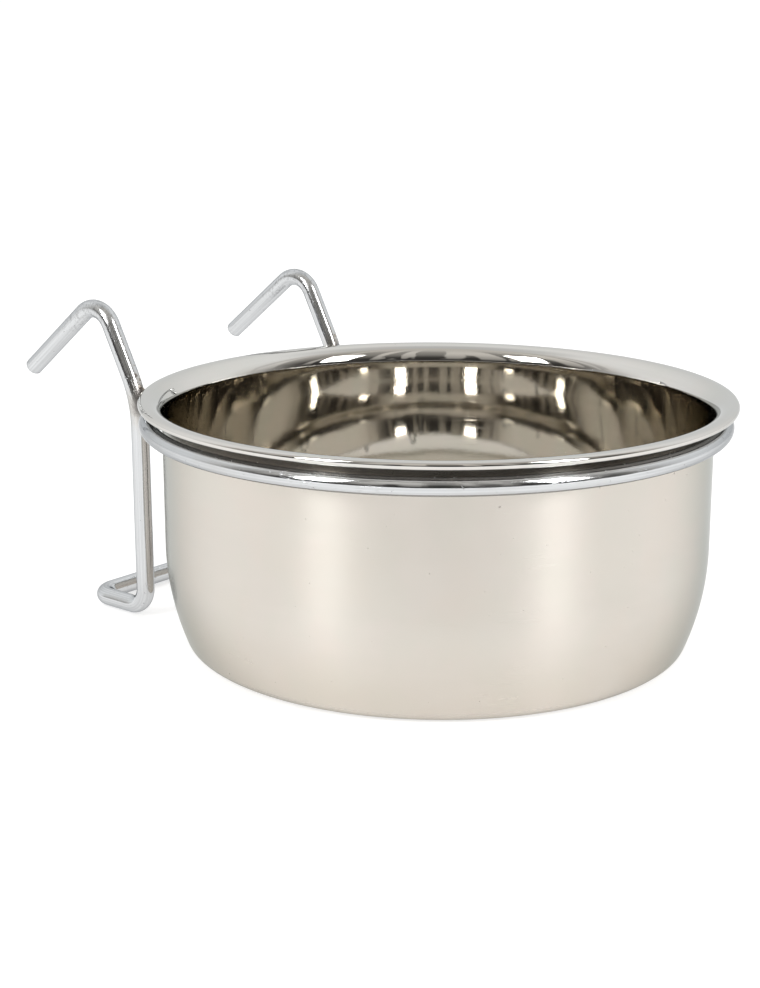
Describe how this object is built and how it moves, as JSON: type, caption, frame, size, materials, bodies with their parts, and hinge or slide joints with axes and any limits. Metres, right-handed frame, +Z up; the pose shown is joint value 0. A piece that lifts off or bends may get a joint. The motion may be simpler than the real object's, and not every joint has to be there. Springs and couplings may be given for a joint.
{
  "type": "hook-on feeding bowl",
  "caption": "Round steel feeding bowl with a rolled rim, resting in a wire ring whose bent wire hanger hooks over the wires of a cage.",
  "frame": {"origin": "centre of the bowl's flat underside", "axes": "+Z up, out of the bowl's mouth; +Y towards the cage wall, where the hooks are; -Y front; +X to the right of someone facing the front"},
  "size_m": [0.14, 0.1729, 0.0779],
  "materials": {
    "polished_steel": "polished",
    "plated_wire": "polished",
    "weld": "matte"
  },
  "bodies": {
    "holder": {"support_ring": "plated_wire", "hanger_wire": "plated_wire", "weld_left": "weld", "weld_right": "weld", "ring_seam_weld": "weld"},
    "cup": {"bowl": "polished_steel"}
  },
  "joints": [
    {"name": "bowl_lift", "type": "slide", "parent": "holder", "child": "cup", "axis": [0, 0, 1], "range_m": [0, 0.09]}
  ]
}
